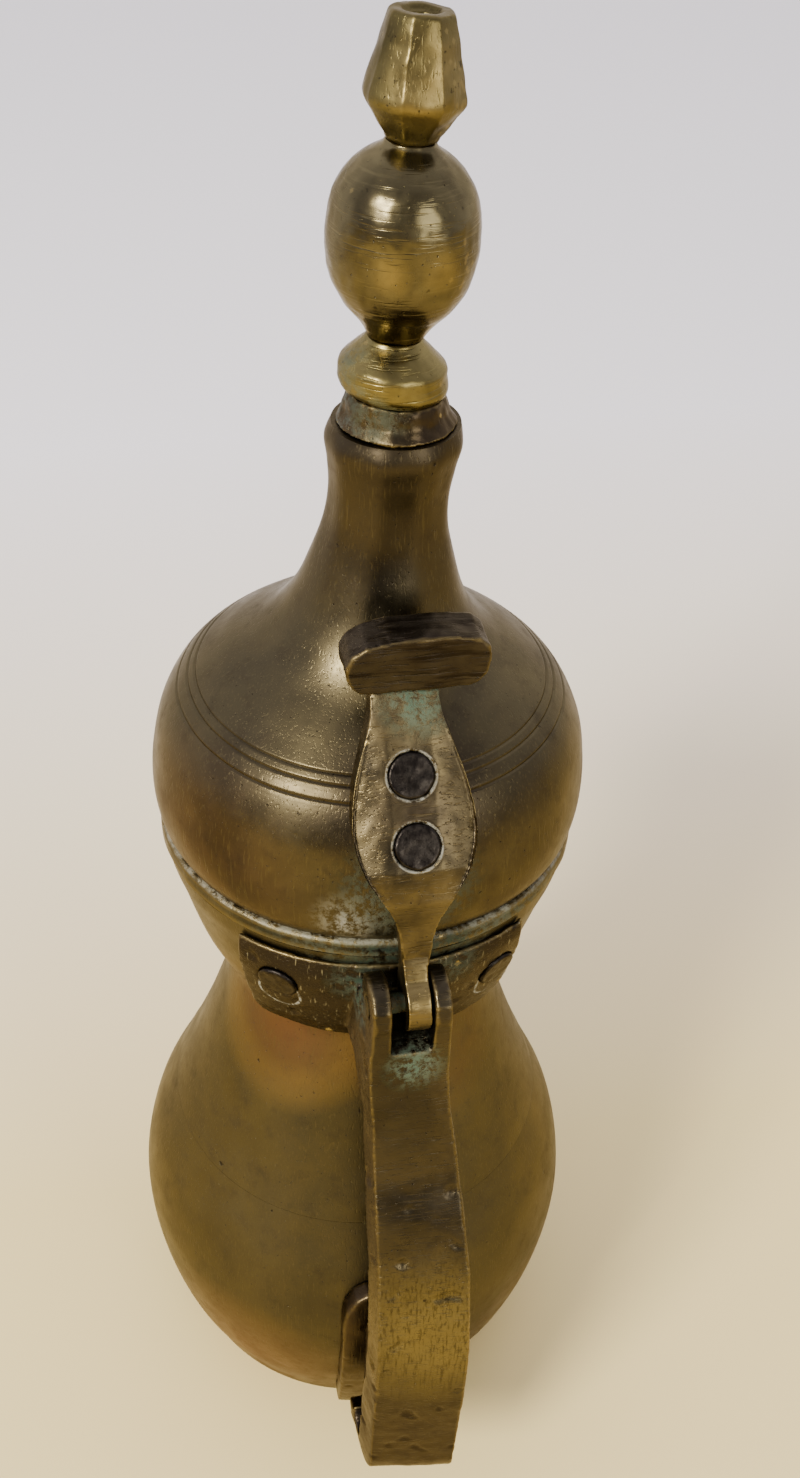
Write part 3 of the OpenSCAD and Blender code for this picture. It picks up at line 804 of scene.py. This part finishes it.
BODY_BRASS = brass("body_brass", GOLD, OLIVE, 30 * MM, roughness=(0.30, 0.46), grime=0.35, tints=(
    (spot(NECK_STAIN, 19 * MM, 0.9), (0.125, 0.060, 0.036), 0.75),
    # Painted highlight: a bright golden arc round the copper stain.
    (ring_round(NECK_STAIN, 16 * MM, 6 * MM), (0.17, 0.115, 0.040), 0.35),
    (patch(mm(-22, -8, 96), 18 * MM), COPPER, 0.55),
    (spot(mm(-31, 27, 14), 27 * MM, 0.95), (0.15, 0.075, 0.036), 0.8),
    (spot(mm(-28, -30, 12), 24 * MM, 0.95), (0.17, 0.105, 0.042), 0.7)), crusts_and_sheen=(
    (spot(mm(-30, 0, 132), 18 * MM), VERDIGRIS, 0.8),))
RIM_BRASS = brass("rim_brass", (0.045, 0.042, 0.030), (0.018, 0.017, 0.013), 8 * MM, edges=0.9, crusts_and_sheen=(
    (spot(mm(-34, -4, 137), 34 * MM, 0.9), VERDIGRIS, 0.9),
    (dust, CHALK, 0.12),
    # Painted highlight: a pale line along the band's top edge, laid on as a dull layer over its top 0.6 mm.
    (heights(RIM_Z - 0.6 * MM, RIM_Z - 0.1 * MM), (0.30, 0.29, 0.22), 0.5)))
LID_BRASS = brass("lid_brass", GOLD, (0.038, 0.032, 0.021), 24 * MM, roughness=(0.27, 0.44),
                  grime=0.55, tints=(
    (spot(above_rim(-18, 31, 5), 24 * MM, 0.95), (0.095, 0.048, 0.027), 0.6),
    (patch(above_rim(-22, 26, 9), 26 * MM), BROWN, 0.8),
    (patch(above_rim(-34, -16, 7), 22 * MM), BROWN, 0.75),
    (spot(LEAF_MIDDLE, 18 * MM, 0.55), BROWN, 0.85),
    (heights(RIM_Z + 40 * MM, RIM_Z + 55 * MM), BROWN, 0.55)), crusts_and_sheen=(
    (spot(above_rim(-34.5, 9, 5.5), 7.2 * MM, 0.9), CHALK, 0.75),
    (spot(middle("hinge_strap") + mm(2, 0, -4), 13 * MM, 0.4), VERDIGRIS, 0.6)))
FINIAL_BRASS = brass("finial_brass", (0.14, 0.117, 0.058), (0.046, 0.039, 0.022), 9 * MM, edges=0.3,
                     lines=(160, 160, 2600), line_depth=0.03 * MM, roughness=(0.15, 0.32), tints=(
    (patch(BALL + mm(-7, 4.5, 5.5), 3.6 * MM), BROWN, 0.7),
    (patch(BALL + mm(-7, 0, -8), 6 * MM), BROWN, 0.8),
    (ball_pits, BLACK, 0.7),
    # Painted highlights: two bright patches at the ball's front, standing in for reflections.
    (patch(BALL + mm(-9, 2.5, -1), 3.2 * MM), BRIGHT, 0.6),
    (patch(BALL + mm(-9, -4, -1), 3.2 * MM), BRIGHT, 0.6)))
COLLAR_BRASS = brass("collar_brass", (0.19, 0.155, 0.058), (0.085, 0.070, 0.028), 6 * MM, edges=0.35,
                     lines=(120, 120, 3200), line_depth=0.06 * MM, roughness=(0.2, 0.36), crusts_and_sheen=(
    (spot(COLLAR + mm(-3, 6, 3), 5 * MM, 0.8), VERDIGRIS, 0.7),
    (ring_round(COLLAR - mm(0, 0, 3.6), 7 * MM, 0.8 * MM), VERDIGRIS, 0.5)))
CREST_BRASS = brass("crest_brass", (0.115, 0.094, 0.036), (0.034, 0.029, 0.014), 6 * MM, edges=0.3, tints=(
    # Painted highlight: a bright patch on the crest's front flat.
    (patch(CREST + mm(-7, -2, 1), 8 * MM), BRIGHT, 0.75),
    (crest_pits, BLACK, 0.8)))
CAP_BRASS = brass("cap_brass", (0.055, 0.040, 0.020), BROWN, 5 * MM, edges=0.7, tints=(
    # Painted highlight: a golden patch on the front of the cap.
    (patch(below_cap_top(-6, 2, 3), 7 * MM), GOLD, 0.8),
    (patch(below_cap_top(-4, 8, 4), 6 * MM), COPPER, 0.35)), crusts_and_sheen=(
    (spot(below_cap_top(0, 0, 2), 8.5 * MM, 0.2), VERDIGRIS, 0.5),
    (patch(below_cap_top(0, 9, 5), 5 * MM), CHALK, 0.35)))
HANDLE_BRASS = brass("handle_brass", (0.064, 0.052, 0.031), (0.024, 0.020, 0.0135), 12 * MM, edges=0.75,
                     lines=(3200, 180, 3200), line_depth=0.05 * MM, tints=(
    (arm_mask, (0.020, 0.016, 0.0135), 0.9),
    (arm_scratches, (0.20, 0.19, 0.15), 0.75),
    # Painted shade: the strap darkens below about 50 mm, towards its lower curve.
    (heights(58 * MM, 46 * MM), BROWN, 0.8),
    # Painted shade: the handle's faces that look along the hinge's axis are darkened to a grey-purple.
    (side_shade, (0.024, 0.019, 0.018), 0.75),
    # Painted highlight: a golden pool on the strap's face.
    (spot(GRIP_HIGHLIGHT, 20 * MM, 0.7), (0.17, 0.135, 0.055), 0.75),
    (grip_scratches, (0.022, 0.017, 0.009), 0.6)), crusts_and_sheen=(
    (spot(HINGE + mm(-4.5, 1, -9.5), 6 * MM, 0.8), PALE_GREEN, 0.9),
    (spot(HINGE + mm(6, 8, -4), 7 * MM, 0.8), VERDIGRIS, 1.0),
    (spot(HINGE + mm(5, -9, -2), 7 * MM, 0.8), VERDIGRIS, 1.0),
    *((ring_round(c, HEAD_EDGE, 0.35 * MM), CHALK, 0.9) for c in ARM_RIVETS)))
TAIL_BRASS = brass("tail_brass", (0.06, 0.042, 0.022), BROWN, 9 * MM, edges=0.5)
SPOUT_BRASS = brass("spout_brass", GOLD, OLIVE, 12 * MM, edges=0.4)
STRAP_BRASS = brass("strap_brass", (0.115, 0.090, 0.044), (0.034, 0.028, 0.018), 5 * MM, edges=0.8,
                    lines=(3000, 260, 3000), line_depth=0.04 * MM, tints=(
    (spot(LEAF_MIDDLE, 8 * MM, 0.9), BROWN, 0.75),
    (spot(HINGE + mm(-2, 1, 4), 6 * MM, 0.6), BRIGHT, 0.45)), crusts_and_sheen=(
    (spot(HINGE + mm(-4, 4, 7), 4 * MM, 0.7), VERDIGRIS, 0.9),
    (spot(middle("thumb_piece") + mm(-2, 0, -7), 7 * MM, 0.7), PALE_GREEN, 0.9),
    *((ring_round(c, HEAD_EDGE, 0.3 * MM), CHALK, 0.9) for c in STRAP_RIVETS)))
THUMB_BRASS = brass("thumb_brass", (0.048, 0.040, 0.028), (0.020, 0.015, 0.011), 6 * MM, edges=0.8,
                    lines=(2400, 150, 2400), line_depth=0.09 * MM, roughness=(0.34, 0.5), tints=(
    (file_marks, (0.010, 0.007, 0.005), 0.75),))
DARK_METAL = dark_metal("dark_metal")
PIN_BRASS = brass("pin_brass", GOLD, BROWN, 4 * MM, crusts_and_sheen=((spot(HINGE, 9 * MM), VERDIGRIS, 0.8),))
INSIDE_BRASS = brass("inside_brass", OLIVE, BROWN, 12 * MM, roughness=(0.4, 0.6))

make_pot_bodies()
make_mouth_ring()
make_handle()
make_spout()
make_rivets()
make_lid()
make_finial()
make_strap()
for node in ("base_plate", "lid_skirt", "arm_burrs", "tail_burrs", "strap_burrs", "finial_rod", "rod_burr"):
    for slot in NODES[node].material_slots:
        slot.material = INSIDE_BRASS
for slot in NODES["hinge_pin"].material_slots:
    slot.material = PIN_BRASS
